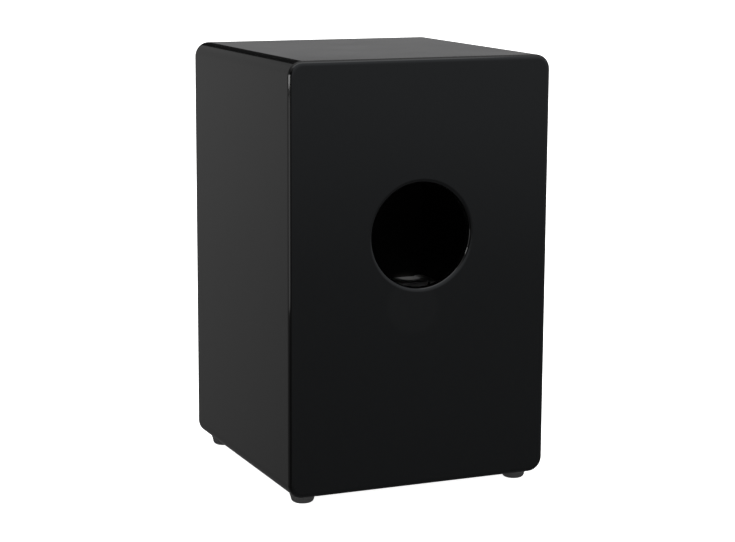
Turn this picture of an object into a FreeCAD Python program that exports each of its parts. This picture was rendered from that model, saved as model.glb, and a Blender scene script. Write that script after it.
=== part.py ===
import FreeCAD, Part
import math
import os

# Cajon: a box drum that is sat on. Millimetres, +Z up, origin on the floor under the middle of the box.
# -Y is the front with the playing plate (tapa), +Y the rear with the sound hole, and +X the right-hand
# side for someone who faces the tapa.

os.makedirs("parts", exist_ok=True)

# Box
WIDTH = 300.0
DEPTH = 300.0
HEIGHT = 470.0  # floor to seat
FOOT_HEIGHT = 10.0
BOARD = 12.0  # sides, seat and bottom
REAR_THICK = 9.0
TAPA_THICK = 3.0
CORNER_R = 16.0  # the four long edges, front to back
RIM_R = 5.0  # round-over of the front and rear outlines
LAP = BOARD / 2  # rebate that the seat and bottom boards lap over the sides with
HOLE_R = 56.0
HOLE_Z = 283.0
HOLE_ROUND = 4.5
HOLE_INNER_ROUND = 1.0
BATTEN_LEG = 15.0

# Fixings
FIT = 0.05  # clearance round a screw or pin in its hole
TAPA_SCREW_INSET = 8.5
TAPA_CORNER_INSET = 15.0
TAPA_SCREW_LENGTH = 22.0
ACROSS_SCREWS = 3  # between the corners, along the top and along the bottom
UPRIGHT_SCREWS = 5  # between the corners, along each side

# Feet
FOOT_INSET = 24.0
FOOT_R = 14.2
FOOT_BASE_R = 8.0
FOOT_EDGE = 4.5
FOOT_POCKET_R = 5.5
FOOT_POCKET_DEPTH = 5.0

# Snare bar, turning on pins in two cleats
BAR_TOP_Z = 181.0
BAR_THICK = 18.0
BAR_DEEP = 40.0
TAPA_TO_BAR = 8.0
CLEAT_THICK = 12.0
CLEAT_DEEP = 48.0
CLEAT_HIGH = 34.0
CLEAT_SCREW_Z = -18.0  # below the pin
CLEAT_SCREW_Y = 14.0
PIN_R = 3.0
PIN_IN_BAR = 20.0
WASHER_R = 8.0
WASHER_THICK = 0.9
WASHER_GAP = 0.1

# Snare wires on their plates
PLATE_X = 32.0
PLATE_WIDE = 48.0
PLATE_HIGH = 16.0
PLATE_THICK = 1.0
PLATE_SCREW_X = 17.0
PLATE_SCREW_Z = -4.5  # from the bar's mid height
STRANDS = 10
STRAND_PITCH = 4.6
STRAND_R = 1.3
STRAND_LENGTH = 180.0
STRAND_ROOT_Z = 1.5  # from the bar's mid height
TIP_GAP = 0.3  # from a strand's tip to the tapa

# Worked out
HALF_W = WIDTH / 2
FRONT = -DEPTH / 2
REAR = DEPTH / 2
FRAME_FRONT = FRONT + TAPA_THICK
FRAME_REAR = REAR - REAR_THICK
WALL_X = HALF_W - BOARD
FLOOR_Z = FOOT_HEIGHT + BOARD
CEILING_Z = HEIGHT - BOARD
BAR_FRONT = FRAME_FRONT + TAPA_TO_BAR
BAR_Y = BAR_FRONT + BAR_DEEP / 2
BAR_Z = BAR_TOP_Z - BAR_THICK / 2
CLEAT_X = WALL_X - CLEAT_THICK
BAR_END_X = CLEAT_X - WASHER_THICK - WASHER_GAP

X = FreeCAD.Vector(1, 0, 0)
Y = FreeCAD.Vector(0, 1, 0)
Z = FreeCAD.Vector(0, 0, 1)
SIDES = (("left", -1), ("right", 1))


def save(name, shape):
    shape.exportStep("parts/" + name + ".step")


def box(x0, x1, y0, y1, z0, z1):
    corner = FreeCAD.Vector(min(x0, x1), min(y0, y1), min(z0, z1))
    return Part.makeBox(abs(x1 - x0), abs(y1 - y0), abs(z1 - z0), corner)


def aim(shape, at, drive):
    """Places a fixing drawn with its head at z=0 and its shank along -Z."""
    turn = FreeCAD.Rotation(FreeCAD.Vector(0, 0, -1), drive)
    shape.Placement = FreeCAD.Placement(at, turn)
    return shape


def turned(outline):
    """Solid of revolution about Z from a closed list of (radius, z) points."""
    points = [FreeCAD.Vector(r, 0, z) for r, z in outline]
    face = Part.Face(Part.makePolygon(points + points[:1]))
    return face.revolve(FreeCAD.Vector(0, 0, 0), Z, 360)


def cross_recess(half, wide, deep):
    slot = box(-half, half, -wide / 2, wide / 2, -deep, 1)
    return slot.fuse(slot.rotated(FreeCAD.Vector(0, 0, 0), Z, 90)).removeSplitter()


def countersunk_screw(head_r, shank_r, length):
    outline = [
        (0, 0),
        (head_r, 0),
        (shank_r, shank_r - head_r),
        (shank_r, 2 * shank_r - length),
        (0, -length),
    ]
    return turned(outline).cut(cross_recess(0.55 * head_r, 0.25 * head_r, 0.45 * head_r))


def countersunk_hole(head_r, shank_r, length):
    outline = [
        (0, 1),
        (head_r + FIT, 1),
        (head_r + FIT, 0),
        (shank_r + FIT, shank_r - head_r),
        (shank_r + FIT, -length - FIT),
        (0, -length - FIT),
    ]
    return turned(outline)


def pan_screw(head_r, head_high, shank_r, length):
    """Round-topped head standing on z=0."""
    outline = [
        (0, head_high),
        (0.45 * head_r, 0.95 * head_high),
        (0.8 * head_r, 0.72 * head_high),
        (0.97 * head_r, 0.35 * head_high),
        (head_r, 0),
        (shank_r, 0),
        (shank_r, 2 * shank_r - length),
        (0, -length),
    ]
    recess = cross_recess(0.5 * head_r, 0.22 * head_r, 0)
    recess.translate(Z * 0.45 * head_high)
    return turned(outline).cut(recess)


def pilot_hole(shank_r, length):
    return Part.makeCylinder(shank_r + FIT, length + FIT, FreeCAD.Vector(0, 0, 0), Z * -1)


def finished_block():
    """The whole box as one solid block with its long edges and both outlines rounded."""
    block = box(-HALF_W, HALF_W, FRONT, REAR, FOOT_HEIGHT, HEIGHT)
    long_edges = [e for e in block.Edges if abs(e.tangentAt(e.FirstParameter).y) > 0.9]
    block = block.makeFillet(CORNER_R, long_edges)
    outlines = [
        e
        for e in block.Edges
        if e.BoundBox.YLength < 0.01 and abs(abs(e.BoundBox.YMin) - DEPTH / 2) < 0.01
    ]
    return block.makeFillet(RIM_R, outlines)


def tapa_screw_places():
    """Where the tapa's screws go, as (x, z) on its face: four corners, then rows between them."""
    corner_x = HALF_W - TAPA_CORNER_INSET
    low_z = FOOT_HEIGHT + TAPA_CORNER_INSET
    high_z = HEIGHT - TAPA_CORNER_INSET
    places = [(side * corner_x, z) for side in (-1, 1) for z in (low_z, high_z)]
    for i in range(1, ACROSS_SCREWS + 1):
        x = -corner_x + 2 * corner_x * i / (ACROSS_SCREWS + 1)
        places.append((x, FOOT_HEIGHT + TAPA_SCREW_INSET))
        places.append((x, HEIGHT - TAPA_SCREW_INSET))
    for i in range(1, UPRIGHT_SCREWS + 1):
        z = low_z + (high_z - low_z) * i / (UPRIGHT_SCREWS + 1)
        places.append((-HALF_W + TAPA_SCREW_INSET, z))
        places.append((HALF_W - TAPA_SCREW_INSET, z))
    return places


TAPA_SCREW = {"head_r": 3.2, "shank_r": 1.6, "length": TAPA_SCREW_LENGTH}


def tapa_fixings(make):
    fixings = []
    for x, z in tapa_screw_places():
        fixings.append(aim(make(**TAPA_SCREW), FreeCAD.Vector(x, FRONT + FIT, z), Y))
    return fixings


FOOT_SCREW = {"shank_r": 1.9, "length": 15.0}
FOOT_SCREW_HEAD = {"head_r": 3.6, "head_high": 2.4}
FOOT_WASHER_THICK = 0.8


def foot_centres():
    x = HALF_W - FOOT_INSET
    y = DEPTH / 2 - FOOT_INSET
    return {
        "front_left": FreeCAD.Vector(-x, -y, 0),
        "front_right": FreeCAD.Vector(x, -y, 0),
        "rear_left": FreeCAD.Vector(-x, y, 0),
        "rear_right": FreeCAD.Vector(x, y, 0),
    }


def foot_screw_seat(centre):
    return centre + Z * (FOOT_POCKET_DEPTH - FOOT_WASHER_THICK)


def foot_holes():
    return [aim(pilot_hole(**FOOT_SCREW), foot_screw_seat(c), Z) for c in foot_centres().values()]


CLEAT_SCREW = {"head_r": 3.4, "shank_r": 1.7, "length": 21.0}


def cleat_fixings(make, side):
    fixings = []
    for y in (-CLEAT_SCREW_Y, CLEAT_SCREW_Y):
        at = FreeCAD.Vector(side * (CLEAT_X + FIT), BAR_Y + y, BAR_Z + CLEAT_SCREW_Z)
        fixings.append(aim(make(**CLEAT_SCREW), at, X * side))
    return fixings


PLATE_SCREW = {"shank_r": 1.2, "length": 12.0}
PLATE_SCREW_HEAD = {"head_r": 2.4, "head_high": 1.3}


def plate_screw_places(side):
    y = BAR_FRONT - PLATE_THICK
    z = BAR_Z + PLATE_SCREW_Z
    return [FreeCAD.Vector(side * PLATE_X + x, y, z) for x in (-PLATE_SCREW_X, PLATE_SCREW_X)]


def plate_holes():
    places = [p for _, side in SIDES for p in plate_screw_places(side)]
    return [aim(pilot_hole(**PLATE_SCREW), p, Y) for p in places]


def carcass_boards(block):
    """Seat, bottom and side boards, rebated into each other and cut from the rounded block."""
    holes = tapa_fixings(countersunk_hole) + foot_holes()
    for _, side in SIDES:
        holes += cleat_fixings(countersunk_hole, side)
    span = (FRAME_FRONT, FRAME_REAR)
    boards = {
        "top_panel": box(-HALF_W, HALF_W, *span, CEILING_Z, HEIGHT),
        "bottom_panel": box(-HALF_W, HALF_W, *span, FOOT_HEIGHT, FLOOR_Z),
    }
    for name, side in SIDES:
        board = box(side * WALL_X, side * HALF_W, *span, FLOOR_Z - LAP, CEILING_Z + LAP)
        boards[name + "_side_panel"] = board
        boards["top_panel"] = boards["top_panel"].cut(board)
        boards["bottom_panel"] = boards["bottom_panel"].cut(board)
    return {name: board.common(block).cut(holes) for name, board in boards.items()}


def rear_panel(block):
    slab = box(-HALF_W, HALF_W, FRAME_REAR, REAR, FOOT_HEIGHT, HEIGHT).common(block)
    hole = Part.makeCylinder(HOLE_R, REAR_THICK, FreeCAD.Vector(0, FRAME_REAR, HOLE_Z), Y)
    panel = slab.cut(hole)
    rims = [e for e in panel.Edges if e.Curve.TypeId == "Part::GeomCircle" and e.Curve.Radius > 50]
    outer = [e for e in rims if e.CenterOfMass.y > REAR - 0.1]
    inner = [e for e in rims if e.CenterOfMass.y < FRAME_REAR + 0.1]
    return panel.makeFillet(HOLE_ROUND, outer).makeFillet(HOLE_INNER_ROUND, inner)


def tapa(block):
    sheet = box(-HALF_W, HALF_W, FRONT, FRAME_FRONT, FOOT_HEIGHT, HEIGHT).common(block)
    return sheet.cut(tapa_fixings(countersunk_hole))


def corner_batten(side, corner_z, up):
    """Three-cornered glue block, its right angle in the box's inner corner."""
    corner_x = side * WALL_X
    points = [
        FreeCAD.Vector(corner_x, FRAME_FRONT, corner_z),
        FreeCAD.Vector(corner_x - side * BATTEN_LEG, FRAME_FRONT, corner_z),
        FreeCAD.Vector(corner_x, FRAME_FRONT, corner_z + up * BATTEN_LEG),
    ]
    face = Part.Face(Part.makePolygon(points + points[:1]))
    batten = face.extrude(Y * (FRAME_REAR - FRAME_FRONT))
    return batten.cut(tapa_fixings(countersunk_hole))


def rubber_foot(centre):
    """Round foot with a well-rounded lower edge and a pocket for its screw."""
    step = math.radians(15)
    shoulder = [
        (FOOT_BASE_R + FOOT_EDGE * math.sin(i * step), FOOT_EDGE - FOOT_EDGE * math.cos(i * step))
        for i in range(7)
    ]
    washer_seat = FOOT_POCKET_DEPTH
    shank_r = FOOT_SCREW["shank_r"] + FIT
    outline = [(FOOT_POCKET_R, 0)] + shoulder + [(FOOT_R, FOOT_HEIGHT)]
    outline += [(shank_r, FOOT_HEIGHT), (shank_r, washer_seat), (FOOT_POCKET_R, washer_seat)]
    foot = turned(outline)
    foot.translate(centre)
    return foot


def foot_washer(centre):
    top = FOOT_POCKET_DEPTH
    disc = Part.makeCylinder(FOOT_POCKET_R - 0.5, FOOT_WASHER_THICK)
    disc = disc.cut(Part.makeCylinder(FOOT_SCREW["shank_r"] + FIT, FOOT_WASHER_THICK))
    disc.translate(centre + Z * (top - FOOT_WASHER_THICK))
    return disc


def foot_screw(centre):
    return aim(pan_screw(**FOOT_SCREW_HEAD, **FOOT_SCREW), foot_screw_seat(centre), Z)


def cleat(side):
    """Block glued and screwed to the side wall, its top level with the bar's top."""
    low_z = BAR_TOP_Z - CLEAT_HIGH
    y0 = BAR_Y - CLEAT_DEEP / 2
    block = box(side * CLEAT_X, side * WALL_X, y0, y0 + CLEAT_DEEP, low_z, BAR_TOP_Z)
    upright = [
        e
        for e in block.Edges
        if e.BoundBox.ZLength > CLEAT_HIGH - 1 and abs(e.CenterOfMass.x - side * CLEAT_X) < 0.1
    ]
    block = block.makeFillet(2.0, upright)
    start = FreeCAD.Vector(side * CLEAT_X, BAR_Y, BAR_Z)
    bore = Part.makeCylinder(PIN_R + FIT, CLEAT_THICK, start, X * side)
    return block.cut([bore] + cleat_fixings(countersunk_hole, side))


def snare_bar():
    half = BAR_DEEP / 2
    low_z = BAR_TOP_Z - BAR_THICK
    bar = box(-BAR_END_X, BAR_END_X, BAR_Y - half, BAR_Y + half, low_z, BAR_TOP_Z)
    lengthways = [e for e in bar.Edges if e.BoundBox.XLength > BAR_END_X]
    bar = bar.makeFillet(1.5, lengthways)
    holes = plate_holes()
    for _, side in SIDES:
        start = FreeCAD.Vector(side * (BAR_END_X - PIN_IN_BAR), BAR_Y, BAR_Z)
        holes.append(Part.makeCylinder(PIN_R, PIN_IN_BAR, start, X * side))
    return bar.cut(holes)


def pivot_pin(side):
    """Steel pin, tight in the bar's end and free in the cleat, with a bevelled outer end."""
    inner = BAR_END_X - PIN_IN_BAR
    length = WALL_X - 0.5 - inner
    pin = turned([(0, 0), (PIN_R, 0), (PIN_R, length - 0.6), (PIN_R - 0.6, length), (0, length)])
    pin.Placement = FreeCAD.Placement(
        FreeCAD.Vector(side * inner, BAR_Y, BAR_Z), FreeCAD.Rotation(Z, X * side)
    )
    return pin


def friction_washer(side):
    start = FreeCAD.Vector(side * BAR_END_X, BAR_Y, BAR_Z)
    disc = Part.makeCylinder(WASHER_R, WASHER_THICK, start, X * side)
    return disc.cut(Part.makeCylinder(PIN_R, WASHER_THICK, start, X * side))


def snare_plate(side):
    """Thin strip with its corners snipped, flat on the bar's front edge."""
    mid_x = side * PLATE_X
    half = PLATE_WIDE / 2
    low_z = BAR_Z - PLATE_HIGH / 2
    plate = box(
        mid_x - half, mid_x + half, BAR_FRONT - PLATE_THICK, BAR_FRONT, low_z, low_z + PLATE_HIGH
    )
    snips = [e for e in plate.Edges if e.BoundBox.YLength > PLATE_THICK / 2]
    plate = plate.makeChamfer(2.0, snips)
    return plate.cut([aim(pilot_hole(**PLATE_SCREW), p, Y) for p in plate_screw_places(side)])


def snare_strands(side):
    """Ten strands, each the outer cylinder of its coil, leaning forward until the tips meet the tapa."""
    root_y = BAR_FRONT - PLATE_THICK - STRAND_R - FIT
    tip_y = FRAME_FRONT + STRAND_R + TIP_GAP
    lean = math.asin((tip_y - root_y) / STRAND_LENGTH)
    along = FreeCAD.Vector(0, math.sin(lean), math.cos(lean))
    strands = []
    for i in range(STRANDS):
        x = side * PLATE_X + (i - (STRANDS - 1) / 2) * STRAND_PITCH
        root = FreeCAD.Vector(x, root_y, BAR_Z + STRAND_ROOT_Z)
        strands.append(Part.makeCylinder(STRAND_R, STRAND_LENGTH, root, along))
    return strands


def plate_screw(at):
    return aim(pan_screw(**PLATE_SCREW_HEAD, **PLATE_SCREW), at, Y)


def main():
    block = finished_block()
    for name, board in carcass_boards(block).items():
        save(name, board)
    save("rear_panel", rear_panel(block))
    save("tapa", tapa(block))
    save("tapa_screws", Part.makeCompound(tapa_fixings(countersunk_screw)))

    for name, side in SIDES:
        save("batten_top_" + name, corner_batten(side, CEILING_Z, -1))
        save("batten_bottom_" + name, corner_batten(side, FLOOR_Z, 1))

    centres = foot_centres()
    for corner, centre in centres.items():
        save("foot_" + corner, rubber_foot(centre))
    save("foot_washers", Part.makeCompound([foot_washer(c) for c in centres.values()]))
    save("foot_screws", Part.makeCompound([foot_screw(c) for c in centres.values()]))

    save("snare_bar", snare_bar())
    for name, side in SIDES:
        save("cleat_" + name, cleat(side))
        save("pivot_pin_" + name, pivot_pin(side))
        save("friction_washer_" + name, friction_washer(side))
        save("snare_plate_" + name, snare_plate(side))
        save("snare_wires_" + name, Part.makeCompound(snare_strands(side)))
    cleat_screws = [s for _, side in SIDES for s in cleat_fixings(countersunk_screw, side)]
    save("cleat_screws", Part.makeCompound(cleat_screws))
    plate_screws = [plate_screw(p) for _, side in SIDES for p in plate_screw_places(side)]
    save("snare_plate_screws", Part.makeCompound(plate_screws))


main()
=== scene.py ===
import math

import bmesh
import bpy
from mathutils import Matrix, Vector


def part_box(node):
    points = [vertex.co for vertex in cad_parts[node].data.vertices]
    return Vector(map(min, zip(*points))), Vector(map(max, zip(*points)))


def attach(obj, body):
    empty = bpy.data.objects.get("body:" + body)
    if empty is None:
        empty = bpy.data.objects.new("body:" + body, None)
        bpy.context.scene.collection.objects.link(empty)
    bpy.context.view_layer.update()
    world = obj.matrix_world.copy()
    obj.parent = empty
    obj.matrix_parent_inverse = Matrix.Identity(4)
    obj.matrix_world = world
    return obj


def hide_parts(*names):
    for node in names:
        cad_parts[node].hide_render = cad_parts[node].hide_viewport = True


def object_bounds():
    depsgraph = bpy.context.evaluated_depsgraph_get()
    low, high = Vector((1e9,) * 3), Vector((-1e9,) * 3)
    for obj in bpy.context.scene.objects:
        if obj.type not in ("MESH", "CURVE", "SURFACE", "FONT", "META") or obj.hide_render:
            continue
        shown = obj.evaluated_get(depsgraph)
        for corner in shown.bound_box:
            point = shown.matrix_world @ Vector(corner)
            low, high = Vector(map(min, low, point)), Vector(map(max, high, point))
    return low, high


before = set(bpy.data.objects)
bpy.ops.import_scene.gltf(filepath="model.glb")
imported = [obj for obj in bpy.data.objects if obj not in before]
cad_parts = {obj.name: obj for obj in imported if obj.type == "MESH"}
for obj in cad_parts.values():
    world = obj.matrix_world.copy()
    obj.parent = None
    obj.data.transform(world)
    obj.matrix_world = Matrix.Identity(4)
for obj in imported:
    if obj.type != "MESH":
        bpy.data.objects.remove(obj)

cad_low, cad_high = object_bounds()
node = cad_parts


# ---- Camera ------------------------------------------------------------------------------------------
# A long lens behind the box, to its right as the player sits, a little above the seat and looking
# slightly down, so that the back, one side and a sliver of the seat show.
camera_data = bpy.data.cameras.new("camera")
camera_data.lens = 98.82
camera_data.sensor_width = 36.0
camera = bpy.data.objects.new("camera", camera_data)
bpy.context.scene.collection.objects.link(camera)
camera.location = (0.8881, 2.0528, 0.6319)
turn, dip, roll = math.radians(23.46), math.radians(10.45), math.radians(0.31)
looking = Vector((-math.sin(turn) * math.cos(dip), -math.cos(turn) * math.cos(dip), -math.sin(dip)))
tilt = Matrix.Rotation(roll, 3, "Z").to_quaternion()
camera.rotation_mode = "QUATERNION"
camera.rotation_quaternion = looking.to_track_quat("-Z", "Y") @ tilt
bpy.context.scene.camera = camera
bpy.context.scene.view_settings.view_transform = "Standard"


# ---- Studio: floor, white tent, softboxes ---------------------------------------------------------------
# A wide pale floor in a white tent. Gloss sees the tent's own shading, which darkens towards the ground and
# has dark gaps beside and beyond the box. One softbox hangs overhead, two stand close beside the box, and
# a narrow spot beside the camera shines in at the sound hole.
def new_material(name):
    material = bpy.data.materials.new(name)
    material.use_nodes = True
    tree = material.node_tree
    return material, tree, tree.nodes["Principled BSDF"]


def add_node(tree, kind, **values):
    made = tree.nodes.new(kind)
    for key, value in values.items():
        setattr(made, key, value)
    return made


def ramp(tree, source, stops, tint=(1.0, 1.0, 1.0)):
    """Colour ramp through (place, grey) stops, each grey tinted alike."""
    made = tree.nodes.new("ShaderNodeValToRGB")
    steps = made.color_ramp.elements
    while len(steps) < len(stops):
        steps.new(0.5)
    for step, (place, grey) in zip(steps, stops):
        step.position = place
        step.color = (grey * tint[0], grey * tint[1], grey * tint[2], 1)
    tree.links.new(source, made.inputs["Fac"])
    return made.outputs["Color"]


def smooth_step(tree, source, low, high):
    made = add_node(tree, "ShaderNodeMapRange", interpolation_type="SMOOTHSTEP")
    tree.links.new(source, made.inputs["Value"])
    made.inputs["From Min"].default_value = low
    made.inputs["From Max"].default_value = high
    return made.outputs["Result"]


def mix_colours(tree, factor, first, second):
    made = add_node(tree, "ShaderNodeMix", data_type="RGBA")
    for value, socket in ((factor, made.inputs[0]), (first, made.inputs[6]), (second, made.inputs[7])):
        if isinstance(value, bpy.types.NodeSocket):
            tree.links.new(value, socket)
        else:
            socket.default_value = value
    return made.outputs[2]


def stage_floor():
    """A pale disc that gives off a little light, so that hardly any shadow shows on it."""
    work = bmesh.new()
    bmesh.ops.create_circle(work, cap_ends=True, segments=96, radius=40.0)
    mesh = bpy.data.meshes.new("floor")
    work.to_mesh(mesh)
    work.free()
    floor = bpy.data.objects.new("floor", mesh)
    bpy.context.scene.collection.objects.link(floor)
    material, tree, shader = new_material("pale_floor")
    shader.inputs["Base Color"].default_value = (0.92, 0.92, 0.92, 1)
    shader.inputs["Roughness"].default_value = 0.9
    shader.inputs["Specular IOR Level"].default_value = 0.1
    shader.inputs["Emission Color"].default_value = (1, 1, 1, 1)
    shader.inputs["Emission Strength"].default_value = 0.97
    mesh.materials.append(material)
    floor.visible_glossy = False


def stage_tent():
    """Plain white light, and for gloss four shadings by height: 0 is straight down, 0.5 the horizon."""
    world = bpy.data.worlds.new("tent")
    world.use_nodes = True
    world.cycles.sampling_method = "NONE"
    bpy.context.scene.world = world
    tree = world.node_tree
    where = add_node(tree, "ShaderNodeTexCoord")
    split = add_node(tree, "ShaderNodeSeparateXYZ")
    tree.links.new(where.outputs["Generated"], split.inputs[0])
    height = add_node(tree, "ShaderNodeMath", operation="MULTIPLY_ADD")
    tree.links.new(split.outputs["Z"], height.inputs[0])
    height.inputs[1].default_value = 0.5
    height.inputs[2].default_value = 0.5
    level = height.outputs[0]
    behind_camera = ramp(
        tree,
        level,
        [(0.3, 0.12), (0.354, 0.16), (0.41, 0.215), (0.45, 0.355), (0.5, 0.44), (0.6, 0.5), (0.8, 0.7),
         (1.0, 0.8)],
        tint=(0.95, 1.0, 1.05),
    )
    beyond_box = ramp(
        tree,
        level,
        [(0.4, 0.1), (0.5, 0.22), (0.545, 0.25), (0.556, 0.02), (0.72, 0.02), (0.85, 0.5), (1.0, 0.8)],
        tint=(1.0, 1.0, 1.01),
    )
    reflector = ramp(
        tree,
        level,
        [(0.3, 0.1), (0.354, 0.153), (0.41, 0.206), (0.456, 0.265), (0.5, 0.275), (0.66, 0.25), (0.72, 0.1),
         (1.0, 0.8)],
    )
    dark_corner = ramp(
        tree,
        level,
        [(0.38, 0.06), (0.44, 0.14), (0.5, 0.03), (0.65, 0.03), (0.85, 0.5), (1.0, 0.8)],
    )
    beside = smooth_step(tree, split.outputs["X"], -0.06, 0.0)
    front_part = mix_colours(tree, beside, beyond_box, reflector)
    far_right = smooth_step(tree, split.outputs["X"], 0.4, 0.58)
    rear_part = mix_colours(tree, far_right, behind_camera, dark_corner)
    rearward = smooth_step(tree, split.outputs["Y"], -0.08, 0.08)
    gloss = mix_colours(tree, rearward, front_part, rear_part)
    white = (1.08, 1.08, 1.08, 1)
    ray = add_node(tree, "ShaderNodeLightPath")
    seen = mix_colours(tree, ray.outputs["Is Glossy Ray"], white, gloss)
    tree.links.new(seen, tree.nodes["Background"].inputs["Color"])


def softbox(name, at, aim, size, brightness):
    """An evenly lit panel that isn't seen itself. Brightness is the level that a mirror would show."""
    lamp = bpy.data.lights.new(name, "AREA")
    lamp.shape = "RECTANGLE"
    lamp.size, lamp.size_y = size
    lamp.energy = brightness * math.pi * size[0] * size[1]
    holder = bpy.data.objects.new(name, lamp)
    bpy.context.scene.collection.objects.link(holder)
    holder.location = at
    holder.rotation_mode = "QUATERNION"
    holder.rotation_quaternion = (Vector(aim) - Vector(at)).to_track_quat("-Z", "Y")
    holder.visible_camera = False


def snoot():
    """A narrow spot beside the camera, aimed through the sound hole to graze the top of the snare bar."""
    lamp = bpy.data.lights.new("snoot", "SPOT")
    lamp.spot_size = math.radians(1.5)
    lamp.spot_blend = 0.05
    lamp.shadow_soft_size = 0.004
    lamp.energy = 335
    holder = bpy.data.objects.new("snoot", lamp)
    bpy.context.scene.collection.objects.link(holder)
    holder.location = (0.83, 2.06, 0.568)
    holder.rotation_mode = "QUATERNION"
    aim = Vector((-0.112, -0.134, 0.153))
    holder.rotation_quaternion = (aim - holder.location).to_track_quat("-Z", "Y")
    holder.visible_glossy = False


stage_floor()
stage_tent()
softbox("overhead_softbox", (0.3, 0.5, 2.2), (0.3, 0.5, 0.4), (2.6, 0.9), 0.85)
softbox("side_softbox", (0.5, 0.19, 0.462), (0.15, 0.19, 0.462), (0.28, 0.1), 5.0)
softbox("side_fill", (0.5, 0.19, 0.27), (0.15, 0.19, 0.27), (0.28, 0.26), 0.9)
snoot()


# ---- Lacquered boards ---------------------------------------------------------------------------------
# Birch ply seat, bottom, sides and back, filled, sprayed black and rubbed to a satin gloss all over the
# outside after gluing, so no joint shows. Inside they only have a thin coat of flat black.
WALL = 0.012
BACK = 0.009
PLATE = 0.003


def noise(tree, place, scale, detail=2.0, stretch=None):
    if stretch:
        fit = add_node(tree, "ShaderNodeMapping")
        tree.links.new(place, fit.inputs["Vector"])
        fit.inputs["Scale"].default_value = stretch
        place = fit.outputs["Vector"]
    made = add_node(tree, "ShaderNodeTexNoise")
    tree.links.new(place, made.inputs["Vector"])
    made.inputs["Scale"].default_value = scale
    made.inputs["Detail"].default_value = detail
    return made.outputs["Fac"]


def spread(tree, source, low, high):
    """Stretches a noise's middle range onto low..high."""
    made = add_node(tree, "ShaderNodeMapRange")
    tree.links.new(source, made.inputs["Value"])
    made.inputs["From Min"].default_value = 0.3
    made.inputs["From Max"].default_value = 0.7
    made.inputs["To Min"].default_value = low
    made.inputs["To Max"].default_value = high
    return made.outputs["Result"]


def maths(tree, operation, first, second=None):
    made = add_node(tree, "ShaderNodeMath", operation=operation)
    for value, socket in zip((first, second), made.inputs):
        if isinstance(value, bpy.types.NodeSocket):
            tree.links.new(value, socket)
        elif value is not None:
            socket.default_value = value
    return made.outputs[0]


def bump(tree, height, distance, under=None):
    """Raises the height's light parts by the distance, or sinks them if the distance is negative."""
    made = add_node(tree, "ShaderNodeBump", invert=distance < 0)
    tree.links.new(height, made.inputs["Height"])
    made.inputs["Distance"].default_value = abs(distance)
    if under:
        tree.links.new(under, made.inputs["Normal"])
    return made.outputs["Normal"]


def both(tree, first, second):
    return maths(tree, "MULTIPLY", first, second)


def inside_box(tree, place):
    """1 on the cavity's walls, 0 on the outside: compares the point with the cavity's size."""
    split = add_node(tree, "ShaderNodeSeparateXYZ")
    tree.links.new(place, split.inputs[0])
    slack = 0.0008
    half_wide = cad_high.x - WALL + slack
    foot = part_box("bottom_panel")[0].z
    middle = (foot + cad_high.z) / 2
    half_high = (cad_high.z - foot) / 2 - WALL + slack
    across = maths(tree, "LESS_THAN", maths(tree, "ABSOLUTE", split.outputs["X"]), half_wide)
    off_middle = maths(tree, "ABSOLUTE", maths(tree, "SUBTRACT", split.outputs["Z"], middle))
    upright = maths(tree, "LESS_THAN", off_middle, half_high)
    rear = maths(tree, "LESS_THAN", split.outputs["Y"], cad_high.y - BACK + slack)
    front = maths(tree, "GREATER_THAN", split.outputs["Y"], cad_low.y + PLATE - slack)
    return both(tree, both(tree, across, upright), both(tree, rear, front))


def filled_grain(tree, place):
    """Faint long fibres that the filler and lacquer almost hide."""
    return noise(tree, place, 60.0, 5.0, stretch=(14.0, 14.0, 0.7))


def sprayed_finish(name, figure, shade, matting, depth):
    """Satin black lacquer outside, flat black inside. The figure lightens, dulls and dents the lacquer."""
    material, tree, shader = new_material(name)
    place = add_node(tree, "ShaderNodeTexCoord").outputs["Object"]
    inside = inside_box(tree, place)
    wood = figure(tree, place)
    fibres = filled_grain(tree, place)
    hands = spread(tree, noise(tree, place, 14.0, 4.0), 0.07, 0.1)
    glossy = maths(tree, "ADD", hands, maths(tree, "MULTIPLY", wood, matting))
    flat = spread(tree, fibres, 0.62, 0.8)
    gloss = add_node(tree, "ShaderNodeMix", data_type="FLOAT")
    tree.links.new(inside, gloss.inputs[0])
    tree.links.new(glossy, gloss.inputs[2])
    tree.links.new(flat, gloss.inputs[3])
    tree.links.new(gloss.outputs[0], shader.inputs["Roughness"])
    coat = ramp(tree, wood, [(0.3, shade[0]), (0.7, shade[1])])
    dust = ramp(tree, fibres, [(0.3, 0.0015), (0.7, 0.005)], tint=(1.05, 1.0, 0.94))
    tree.links.new(mix_colours(tree, inside, coat, dust), shader.inputs["Base Color"])
    waves = bump(tree, noise(tree, place, 9.0, 1.0), 0.00015)
    skin = bump(tree, noise(tree, place, 420.0, 2.0), 0.0000035, waves)
    tree.links.new(bump(tree, wood, depth, skin), shader.inputs["Normal"])
    return material


def coat_nodes(material, *names):
    for name in names:
        node[name].data.materials.clear()
        node[name].data.materials.append(material)


lacquer = sprayed_finish("black_lacquer", filled_grain, (0.0005, 0.0008), 0.01, 0.000006)
coat_nodes(lacquer, "top_panel", "bottom_panel", "left_side_panel", "right_side_panel", "rear_panel")


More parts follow.
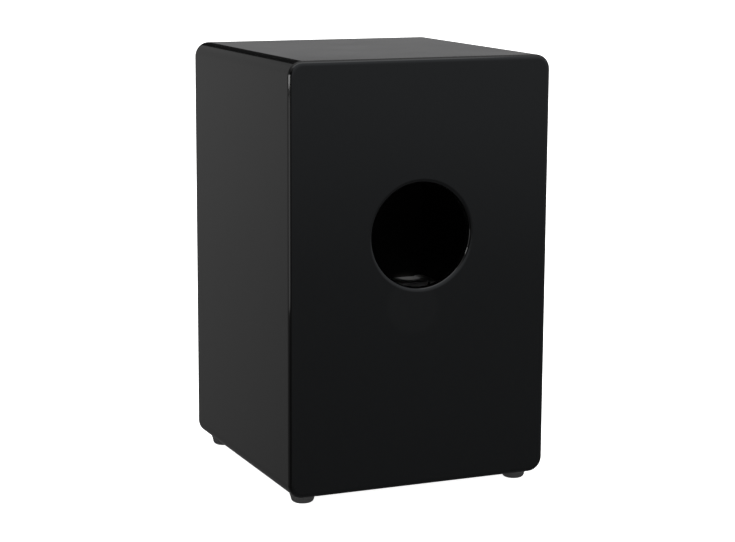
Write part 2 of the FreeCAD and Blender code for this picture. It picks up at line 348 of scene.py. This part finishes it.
# ---- Playing plate ------------------------------------------------------------------------------------
# Thin ash-faced ply, stained black so that its rings and open pores still show under the same satin
# lacquer, and screwed to the frame round its edge. Its rounded rim runs on from the boards behind it.
def ash_figure(tree, place):
    """Flat-sawn rings as contour lines of a long soft noise, with short pores in the open rings."""
    sweep = noise(tree, place, 1.0, 2.0, stretch=(4.2, 4.2, 0.8))
    rings = maths(tree, "PINGPONG", maths(tree, "MULTIPLY", sweep, 110.0), 1.0)
    pores = spread(tree, noise(tree, place, 1.0, 2.0, stretch=(650.0, 650.0, 30.0)), 0.0, 1.0)
    open_pores = maths(tree, "MULTIPLY", maths(tree, "POWER", rings, 0.7), pores)
    ring_share = 0.35
    shaded_rings = maths(tree, "MULTIPLY", rings, ring_share)
    return maths(tree, "ADD", shaded_rings, maths(tree, "MULTIPLY", open_pores, 1 - ring_share))


stained_ash = sprayed_finish("stained_ash", ash_figure, (0.0012, 0.011), 0.16, -0.00004)
coat_nodes(stained_ash, "tapa")


# ---- Screws, washers and pins -----------------------------------------------------------------------------
# Steel wood screws with cross recesses: black-oxide ones, countersunk round the playing plate, and
# zinc-plated pan heads on the feet, cleats and brass plates. The bar turns on two plain bright pins.
def plated_steel(name, colour, roughness):
    material, tree, shader = new_material(name)
    place = add_node(tree, "ShaderNodeTexCoord").outputs["Object"]
    cloud = noise(tree, place, 700.0, 3.0)
    shade = ramp(tree, cloud, [(0.3, 0.8), (0.7, 1.0)], tint=colour)
    tree.links.new(shade, shader.inputs["Base Color"])
    tree.links.new(spread(tree, cloud, roughness - 0.07, roughness + 0.07), shader.inputs["Roughness"])
    shader.inputs["Metallic"].default_value = 1.0
    tree.links.new(bump(tree, cloud, 0.00001), shader.inputs["Normal"])
    return material


coat_nodes(plated_steel("black_oxide", (0.03, 0.03, 0.032), 0.38), "tapa_screws")
zinc = plated_steel("zinc_plate", (0.62, 0.63, 0.64), 0.3)
coat_nodes(zinc, "foot_screws", "foot_washers", "cleat_screws", "snare_plate_screws")
coat_nodes(plated_steel("bright_pin", (0.68, 0.67, 0.66), 0.18), "pivot_pin_left", "pivot_pin_right")


# ---- Corner blocks, cleats and snare bar ------------------------------------------------------------------
# Planed softwood glue blocks in the corners, sprayed flat black with the inside, and a beech bar between
# two beech cleats, which kept their thin grey primer. The grain shows through either coat.
def thin_coated_wood(name, stretch, light, roughness):
    material, tree, shader = new_material(name)
    place = add_node(tree, "ShaderNodeTexCoord").outputs["Object"]
    figure = noise(tree, place, 30.0, 4.0, stretch=stretch)
    flecks = noise(tree, place, 160.0, 3.0, stretch=stretch)
    grain = maths(tree, "MULTIPLY", maths(tree, "ADD", figure, flecks), 0.5)
    shade = ramp(tree, grain, [(0.36, light * 0.6), (0.62, light)])
    tree.links.new(shade, shader.inputs["Base Color"])
    tree.links.new(spread(tree, grain, roughness - 0.08, roughness + 0.1), shader.inputs["Roughness"])
    tree.links.new(bump(tree, grain, 0.00015), shader.inputs["Normal"])
    return material


coat_nodes(
    thin_coated_wood("blackened_softwood", (9.0, 0.4, 9.0), 0.008, 0.7),
    "batten_top_left", "batten_top_right", "batten_bottom_left", "batten_bottom_right",
)
coat_nodes(thin_coated_wood("primed_bar", (0.4, 9.0, 9.0), 0.34, 0.6), "snare_bar")
coat_nodes(thin_coated_wood("primed_cleats", (9.0, 9.0, 0.4), 0.28, 0.62), "cleat_left", "cleat_right")


# ---- Friction washers and snare plates ---------------------------------------------------------------------
# Punched nylon washers between the bar and its cleats, and rolled brass strips that hold the wires' ends
# on the bar's front edge.
def moulded_nylon():
    material, tree, shader = new_material("nylon")
    place = add_node(tree, "ShaderNodeTexCoord").outputs["Object"]
    cloud = noise(tree, place, 500.0, 2.0)
    shade = ramp(tree, cloud, [(0.3, 0.6), (0.7, 0.68)], tint=(1.0, 0.98, 0.92))
    tree.links.new(shade, shader.inputs["Base Color"])
    tree.links.new(spread(tree, cloud, 0.42, 0.55), shader.inputs["Roughness"])
    return material


def rolled_brass():
    material, tree, shader = new_material("rolled_brass")
    place = add_node(tree, "ShaderNodeTexCoord").outputs["Object"]
    lines = noise(tree, place, 90.0, 4.0, stretch=(0.5, 12.0, 12.0))
    shade = ramp(tree, lines, [(0.3, 0.75), (0.7, 1.0)], tint=(0.68, 0.47, 0.19))
    tree.links.new(shade, shader.inputs["Base Color"])
    tree.links.new(spread(tree, lines, 0.22, 0.42), shader.inputs["Roughness"])
    shader.inputs["Metallic"].default_value = 1.0
    tree.links.new(bump(tree, lines, 0.00002), shader.inputs["Normal"])
    return material


coat_nodes(moulded_nylon(), "friction_washer_left", "friction_washer_right")
coat_nodes(rolled_brass(), "snare_plate_left", "snare_plate_right")


# ---- Snare wires -------------------------------------------------------------------------------------------
# Two sets of spring-steel strands. Each is wound into a thin open coil, with a short straight tail at the
# foot, soldered to the brass, and a straight tip just behind the playing plate.
def strand_path(foot, tip, coil_r, wire_r):
    """Points of one strand: straight tail, helix, straight tip."""
    along = (tip - foot).normalized()
    across = Vector((1, 0, 0))
    out = across.cross(along)
    length = (tip - foot).length
    tail, pitch, steps = 0.007, 0.0019, 8
    turns = int((length - 2 * tail) / pitch)
    winding_r = coil_r - wire_r
    points = [foot + out * winding_r, foot + along * tail + out * winding_r]
    for i in range(turns * steps + 1):
        angle = 2 * math.pi * i / steps
        ring = out * math.cos(angle) + across * math.sin(angle)
        points.append(foot + along * (tail + pitch * i / steps) + ring * winding_r)
    points.append(points[-1] + along * (length - tail - turns * pitch))
    return points


def snare_wires(side, steel):
    low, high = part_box("snare_wires_" + side)
    coil_r, wire_r, strands = 0.0013, 0.0003, 10
    first, last = low.x + coil_r, high.x - coil_r
    curve = bpy.data.curves.new("strands_" + side, "CURVE")
    curve.dimensions = "3D"
    curve.bevel_depth = wire_r
    curve.bevel_resolution = 1
    curve.use_fill_caps = True
    for i in range(strands):
        x = first + (last - first) * i / (strands - 1)
        foot = Vector((x, high.y - coil_r, low.z))
        tip = Vector((x, low.y + coil_r, high.z))
        points = strand_path(foot, tip, coil_r, wire_r)
        spline = curve.splines.new("POLY")
        spline.points.add(len(points) - 1)
        spline.points.foreach_set("co", [c for p in points for c in (*p, 1.0)])
    holder = bpy.data.objects.new("strands_" + side, curve)
    mesh = bpy.data.meshes.new_from_object(holder)
    bpy.data.objects.remove(holder)
    wires = bpy.data.objects.new("coiled_wires_" + side, mesh)
    bpy.context.scene.collection.objects.link(wires)
    for face in mesh.polygons:
        face.use_smooth = True
    mesh.materials.clear()
    mesh.materials.append(steel)
    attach(wires, "snare")
    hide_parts("snare_wires_" + side)


spring_steel = plated_steel("spring_steel", (0.66, 0.66, 0.67), 0.24)
for side in ("left", "right"):
    snare_wires(side, spring_steel)


# ---- Rubber feet -------------------------------------------------------------------------------------------
# Four moulded rubber pucks, a little narrower at the floor, with a well-rounded lower edge, a fine
# parting line near the top and a pocket underneath for the washer and screw.
def moulded_rubber():
    material, tree, shader = new_material("moulded_rubber")
    place = add_node(tree, "ShaderNodeTexCoord").outputs["Object"]
    cloud = noise(tree, place, 900.0, 3.0)
    tree.links.new(ramp(tree, cloud, [(0.3, 0.02), (0.7, 0.03)]), shader.inputs["Base Color"])
    tree.links.new(spread(tree, cloud, 0.34, 0.46), shader.inputs["Roughness"])
    tree.links.new(bump(tree, cloud, 0.00002), shader.inputs["Normal"])
    return material


def rubber_foot(corner, rubber):
    """One foot, spun from its profile: the pocket, the sole, the rounded edge, the side and its seam."""
    name = "foot_" + corner
    low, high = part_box(name)
    centre = (low + high) / 2
    outer, tall = (high.x - low.x) / 2, high.z - low.z
    base, edge, pocket_r, pocket, hole_r = 0.008, 0.0045, 0.0055, 0.005, 0.00195
    ease, lip = 0.0004, 0.0005
    profile = [(hole_r, pocket), (pocket_r - ease, pocket), (pocket_r, pocket - ease), (pocket_r, lip)]
    profile += [(pocket_r + lip, 0.0), (base - 0.0003, 0.0)]
    for i in range(1, 9):
        angle = math.radians(9.0 * i)
        profile.append((base + edge * math.sin(angle), edge * (1 - math.cos(angle))))
    seam, seam_half = 0.8 * tall, 0.0003
    swell = base + edge + (outer - base - edge) * (seam - edge) / (tall - edge)
    profile += [(swell - 0.0002, seam - seam_half), (swell, seam), (swell - 0.0001, seam + seam_half)]
    profile += [(outer - 0.0001, tall - 0.0006), (outer - lip, tall), (hole_r, tall)]
    work = bmesh.new()
    rim = [work.verts.new((centre.x + r, centre.y, low.z + z)) for r, z in profile]
    for first, second in zip(rim, rim[1:] + rim[:1]):
        work.edges.new((first, second))
    bmesh.ops.spin(
        work, geom=work.verts[:] + work.edges[:], cent=(centre.x, centre.y, 0), axis=(0, 0, 1),
        angle=math.tau, steps=72, use_merge=True,
    )
    bmesh.ops.remove_doubles(work, verts=work.verts, dist=0.000001)
    bmesh.ops.recalc_face_normals(work, faces=work.faces)
    mesh = bpy.data.meshes.new("rubber_" + name)
    work.to_mesh(mesh)
    work.free()
    mesh.shade_smooth()
    foot = bpy.data.objects.new("rubber_" + name, mesh)
    bpy.context.scene.collection.objects.link(foot)
    mesh.materials.append(rubber)
    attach(foot, "box")
    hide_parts(name)


rubber = moulded_rubber()
for corner in ("front_left", "front_right", "rear_left", "rear_right"):
    rubber_foot(corner, rubber)
